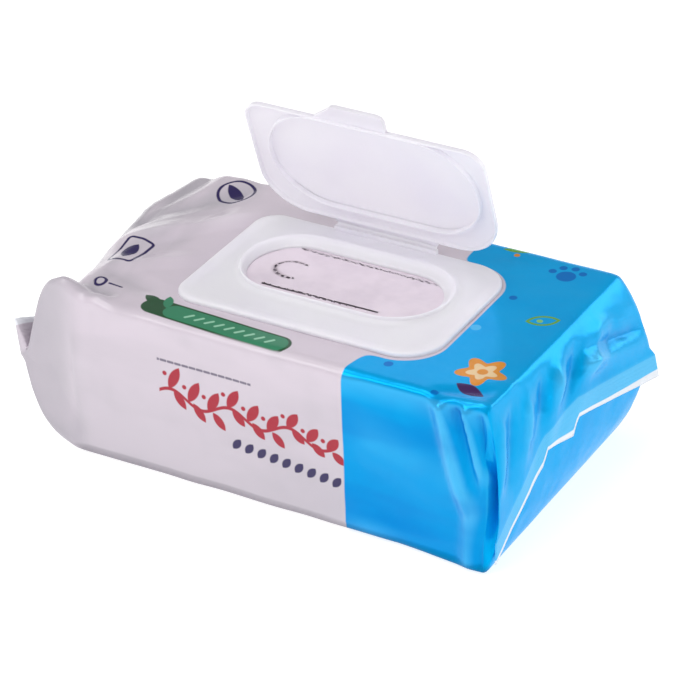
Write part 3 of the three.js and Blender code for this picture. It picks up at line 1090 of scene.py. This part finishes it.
# The lid is drawn shut about its hinge line: it reaches from the hinge towards -Y, and Z is height
# above the hinge line. It is then swung open.


def swing_open(obj):
    hinge = Matrix.Translation(Vector((PACK_X, HINGE_Y, HINGE_Z)) * MM)
    back = Matrix.Translation(Vector((-PACK_X * MM, 0, 0)))
    obj.data.transform(hinge @ Matrix.Rotation(-OPEN_ANGLE, 4, "X") @ back)


def lid_ring(inset, z, shrink=1.0):
    half_x = (LID["half_x"] - inset) * shrink
    half_y = ((LID["far"] - LID["near"]) / 2 - inset) * shrink
    centre_y = -(LID["far"] + LID["near"]) / 2
    near_radius = (LID["near_radius"] - inset) * shrink
    far_radius = (LID["far_radius"] - inset) * shrink
    ring = rounded_ring(half_x, half_y, centre_y, near_radius, far_radius, z)
    return ring + (LID["centre_x"], 0, 0)


def lid_flap(material):
    """The domed lid with its skirt, seal ring, finger tab and hinge strap, swung open."""
    shares = [0.08, 0.2, 0.32, 0.44, 0.56, 0.68, 0.78, 0.87, 0.94]
    top = [lid_ring(0, LID_TOP + LID_CROWN * (1 - s * s), s) for s in shares]
    under = [lid_ring(1.3, LID_UNDER + LID_CROWN * (1 - s * s), s) for s in shares]
    edge = [(0.9, LID_TOP + 0.02), (0.4, LID_TOP - 0.08), (0.1, LID_TOP - 0.35), (0, LID_TOP - 0.7)]
    edge += [(0, SKIRT_FOOT + 0.3), (0.25, SKIRT_FOOT), (0.75, SKIRT_FOOT), (1.0, SKIRT_FOOT + 0.25)]
    edge += [(1.1, LID_UNDER - 0.25), (1.35, LID_UNDER)]
    rings = top + [lid_ring(inset, z) for inset, z in edge] + under[::-1]
    obj = loft("lid_flap", rings[::-1], material, wrapped=False)
    strap_low = (HINGE_FROM, -(LID["near"] + 0.6), LID_UNDER)
    strap = block("hinge_strap", strap_low, (HINGE_TO, -0.5, LID_TOP), material)
    unite(obj, seal_ring(material), finger_tab(material), strap)
    swing_open(obj)
    return finish_moulding(obj, "flip_lid", "lid")


def seal_ring(material):
    """The ring under the lid that fits round the rim."""
    foot, root = LID_UNDER - 1.6, LID_UNDER + 0.7

    def wall_ring(outset, z):
        half_x, half_y = RIM["half_x"] + SEAL_GAP + outset, RIM["half_y"] + SEAL_GAP + outset
        return oval_ring(half_x, half_y, RIM["centre_y"] - HINGE_Y, z)

    places = [(0, foot), (0, root), (SEAL_WALL, root), (SEAL_WALL, foot)]
    rings = [wall_ring(outset, z) for outset, z in places]
    return loft("seal_ring", rings[::-1], material, wrapped=True)


def finger_tab(material):
    """The tab that the lid is lifted by, wider at its root on one side."""
    edge = -LID["far"]
    root, tip = edge + 0.8, edge - 7.0
    right = [(10.8, root), (10.8, tip + 2.4), (10.1, tip + 0.7), (8.4, tip)]
    left = [(-8.4, tip), (-10.4, tip + 0.5), (-11.6, tip + 1.9), (-18, edge - 0.2), (-18, root)]
    shape = right + left
    count = len(shape)
    points = [(x + TAB_X, y, z) for z in (LID_TOP - 1.6, LID_TOP) for x, y in shape]
    sides = [(i, (i + 1) % count, count + (i + 1) % count, count + i) for i in range(count)]
    faces = [tuple(range(count))[::-1], tuple(range(count, 2 * count))] + sides
    obj = new_object("finger_tab", points, faces, material, smooth=False)
    fix_normals(obj)
    return obj


def hinge_web(material):
    """The thin flexing strip between the base's land and the lid's strap."""
    lid_y = -1.2 * math.cos(OPEN_ANGLE) + 0.05 * math.sin(OPEN_ANGLE)
    lid_z = 1.2 * math.sin(OPEN_ANGLE) + 0.05 * math.cos(OPEN_ANGLE)
    start = np.array([HINGE_Y - 0.9, HINGE_Z - 1.3])
    control = np.array([HINGE_Y + 0.35, HINGE_Z - 0.2])
    end = np.array([HINGE_Y + lid_y, HINGE_Z + lid_z])
    path = bezier(np.linspace(0, 1, 13)[:, None], start, control, end)
    heading = np.gradient(path, axis=0)
    side = np.stack([-heading[:, 1], heading[:, 0]], 1)
    side /= np.linalg.norm(side, axis=1, keepdims=True)
    left, right = HINGE_FROM + 0.6, HINGE_TO - 0.6
    rings = []
    for point, off in zip(path, side):
        a, b = point + off * WEB_THICKNESS, point - off * WEB_THICKNESS
        rings.append(np.array([(left, *a), (right, *a), (right, *b), (left, *b)]))
    obj = loft("hinge_web", rings, material, wrapped=False)
    fix_normals(obj)
    smooth_by_angle(obj, 40)
    keep_rest_place(obj)
    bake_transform(obj)
    return obj


def plastic_material():
    """Milky white plastic, lit through a little."""
    shade = Shade("milky_plastic")
    cloud = shade.noise(30).step(0.35, 0.75)
    speck = shade.noise(1.1, detail=1).step(0.72, 0.86)
    height = shade.split(shade.place())[2]
    tints = [
        ((236, 232, 243), cloud * 0.6),
        ((212, 206, 222), speck * 0.25),
        # Painted shade: the open lid's upper part and its finger tab greyer.
        ((214, 210, 218), height.step(119, 126) * 0.5),
    ]
    shade.drive("Base Color", shade.layered((243, 240, 248), tints))
    shade.drive("Roughness", shade.noise(6, detail=5, stretch=(1, 3, 1)) * 0.18 + 0.26)
    shade.set(IOR=1.49, Subsurface_Weight=0.5, Subsurface_Scale=0.002)
    shade.shader.inputs["Subsurface Radius"].default_value = (1.0, 0.95, 1.0)
    shade.relief(shade.noise(0.5) * 0.4 + shade.noise(14), 0.12, 0.5)
    return shade.material


# --- The perforated panel ---

CELL = 0.5
PANEL_Z = HEIGHT + 0.12
PANEL_MARGIN_X, PANEL_MARGIN_Y = 2.2, 2.6
SLITS_FROM = -26.6
FAR_SLIT_TO, NEAR_SLIT_TO = 31.5, 20.5

# The finger cut follows the left part of an oval.
CUT_X, CUT_Y = -21.5, -0.5
CUT_HALF_X, CUT_HALF_Y = 7.0, 5.6


def far_slit(x):
    return 14.0 - 0.02 * x


def near_slit(x):
    return -13.8 + 0.01 * x


def cut_reach(x, y):
    """1 on the finger cut's oval and less inside it."""
    return np.hypot((x - CUT_X) / CUT_HALF_X, (y - CUT_Y) / CUT_HALF_Y)


def panel_height(x, y):
    """The panel's height: pinched up along its slits, and curled up inside the finger cut."""
    height = np.full(x.shape, PANEL_Z)
    height += 0.3 * tent(y - far_slit(x), 5) + 0.45 * tent(y - near_slit(x), 6)
    height += 0.1 * crumple(x, y, 16, 3)
    tab = smoothstep(1 - cut_reach(x, y), 0, 0.15)
    height += 0.4 * tab * (1 - smoothstep(x, -28, -17)) + 0.3 * bell(x, -21, 12) * bell(y, 0, 9)
    out_x = np.abs(x) - OPENING["half_x"]
    out_y = np.abs(y - OPENING["centre_y"]) - OPENING["half_y"]
    under_frame = np.maximum(out_x, out_y) > -1.0
    return np.where(under_frame, np.minimum(height, HEIGHT + 0.16), height)


def tear_panel(material):
    """The film across the opening, slit along two lines and round a finger cut that has curled."""
    half_x, half_y = OPENING["half_x"] + PANEL_MARGIN_X, OPENING["half_y"] + PANEL_MARGIN_Y
    xs = np.arange(-half_x, half_x + CELL, CELL)
    ys = np.arange(-half_y, half_y + CELL, CELL) + OPENING["centre_y"]
    x, y = np.meshgrid(xs, ys, indexing="ij")
    points = np.stack([x, y, panel_height(x, y)], 2)
    keep = ~slits(x[:-1, :-1] + CELL / 2, y[:-1, :-1] + CELL / 2)
    columns = len(ys)
    faces = []
    for i, j in np.argwhere(keep).tolist():
        a = i * columns + j
        faces.append((a, a + columns, a + columns + 1, a + 1))
    obj = new_object("tear_panel", points.reshape(-1, 3), faces, material)
    thick = obj.modifiers.new("film", "SOLIDIFY")
    thick.thickness = 0.1 * MM
    thick.offset = 1
    apply_modifiers(obj)
    keep_rest_place(obj)
    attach(obj, "pack")
    return obj


def slits(x, y):
    """Where the panel is cut through."""
    ragged = 0.25 * np.sin(x * 2.1) + 0.18 * np.sin(x * 5.3 + 1)
    far = np.abs(y - far_slit(x) - ragged) < 0.3
    far &= (x > SLITS_FROM) & (x < FAR_SLIT_TO) & ((x % 3.4) > 0.5)
    near = np.abs(y - near_slit(x) - 0.4 * ragged) < 0.55
    near &= (x > SLITS_FROM) & (x < NEAR_SLIT_TO)
    heading = np.degrees(np.arctan2(y - CUT_Y, x - CUT_X))
    finger = (np.abs(cut_reach(x, y) - 1) < 0.075) & (np.abs(heading) > 58) & (heading % 24 > 7)
    return far | near | finger


def panel_material():
    """The white film again, with painted shade along the finger cut."""
    shade = Shade("tear_film")
    cloud = shade.noise(12, detail=3).step(0.35, 0.75)
    row_x, y, _ = shade.split(shade.place())
    x = row_x - PACK_X
    reach = hypotenuse((x - CUT_X) / CUT_HALF_X, (y - CUT_Y) / CUT_HALF_Y)
    # Painted shade along the open side of the finger cut.
    cut_shade = (1 - (reach - 1).abs().step(0.05, 0.3)) * (1 - x.step(-22, -18))
    tints = [((220, 208, 218), cloud), ((176, 162, 172), cut_shade * 0.6)]
    shade.drive("Base Color", shade.layered((232, 220, 229), tints))
    shade.drive("Roughness", shade.noise(5, detail=3) * 0.14 + 0.26)
    shade.relief(shade.noise(2.4, detail=3), 0.2, 0.5)
    return shade.material


# --- Stage ---


FLOOR_REACH = 3000
FLOOR_Z = -0.3


def floor():
    """White paper that glows a little, more so towards the horizon."""
    shade = Shade("floor_paper")
    grain = shade.noise(4, detail=3)
    shade.drive("Base Color", shade.over((190, 190, 190), (186, 186, 187), grain))
    shade.set(Roughness=0.9, Specular_IOR_Level=0.1, Emission_Color=(1, 1, 1, 1))
    x, y, _ = shade.split(shade.place())
    shade.drive("Emission Strength", hypotenuse(x, y).step(250, 1100) * 0.45 + 0.78)
    signs = ((-1, -1), (1, -1), (1, 1), (-1, 1))
    corners = [(FLOOR_REACH * sx, FLOOR_REACH * sy, FLOOR_Z) for sx, sy in signs]
    obj = new_object("floor", corners, [(0, 1, 2, 3)], shade.material)
    keep_rest_place(obj)


# Lights as (name, place, size, power), in the frame's metres and in watts.
LIGHTS = [
    ("key", (-0.3, -0.66, 0.75), (0.5, 0.36), 2.2),
    ("overhead", (-0.1, -0.2, 1.0), (0.6, 0.5), 3.0),
    ("right_rim", (0.66, 0.82, 0.46), (0.6, 0.42), 2.0),
    ("right_side", (0.95, -0.3, 0.34), (0.3, 0.3), 0.9),
]
LIGHT_AIM = (0, 0, 0.03)


def area_light(name, place, size, power):
    data = bpy.data.lights.new(name, "AREA")
    data.shape = "RECTANGLE"
    data.size, data.size_y = size
    data.energy = power
    light = bpy.data.objects.new(name, data)
    light.location = place
    light.rotation_mode = "QUATERNION"
    light.rotation_quaternion = (Vector(LIGHT_AIM) - Vector(place)).to_track_quat("-Z", "Y")
    bpy.context.scene.collection.objects.link(light)


def lights():
    """A white world that is dimmer overhead, and soft lights."""
    world = bpy.data.worlds.new("studio")
    world.use_nodes = True
    tree = world.node_tree
    background = tree.nodes["Background"]
    background.inputs["Color"].default_value = (1, 1, 1, 1)
    heading = tree.nodes.new("ShaderNodeTexCoord")
    parts = tree.nodes.new("ShaderNodeSeparateXYZ")
    tree.links.new(heading.outputs["Generated"], parts.inputs[0])
    strength = 1.0 - Field(tree, parts.outputs["Z"]).step(0.1, 0.28) * 0.64
    tree.links.new(strength.socket, background.inputs["Strength"])
    bpy.context.scene.world = world
    for light in LIGHTS:
        area_light(*light)


def camera():
    """Seen from the front right and above, as a long lens sees it."""
    azimuth, elevation, roll = math.radians(30.0), math.radians(30.55), math.radians(-1.36)
    distance, lens = 1185, 175.1
    tilt = Matrix.Rotation(math.pi / 2 - elevation, 4, "X") @ Matrix.Rotation(roll, 4, "Z")
    turn = Matrix.Rotation(azimuth, 4, "Z") @ tilt
    target = Vector((PACK_X, 0, HEIGHT / 2))
    place = target + turn @ Vector((-3.87, 9.43, distance))
    data = bpy.data.cameras.new("camera")
    data.lens = lens
    data.sensor_width = 36
    data.clip_start, data.clip_end = 0.05, 20
    obj = bpy.data.objects.new("camera", data)
    obj.matrix_world = Matrix.Translation(place * MM) @ turn
    bpy.context.scene.collection.objects.link(obj)
    bpy.context.scene.camera = obj


def main():
    plastic = plastic_material()
    film_skin(film_material())
    lid_frame(plastic)
    lid_flap(plastic)
    hinge_web(plastic)
    tear_panel(panel_material())
    floor()
    lights()
    camera()
    bpy.context.scene.view_settings.view_transform = "Standard"


main()
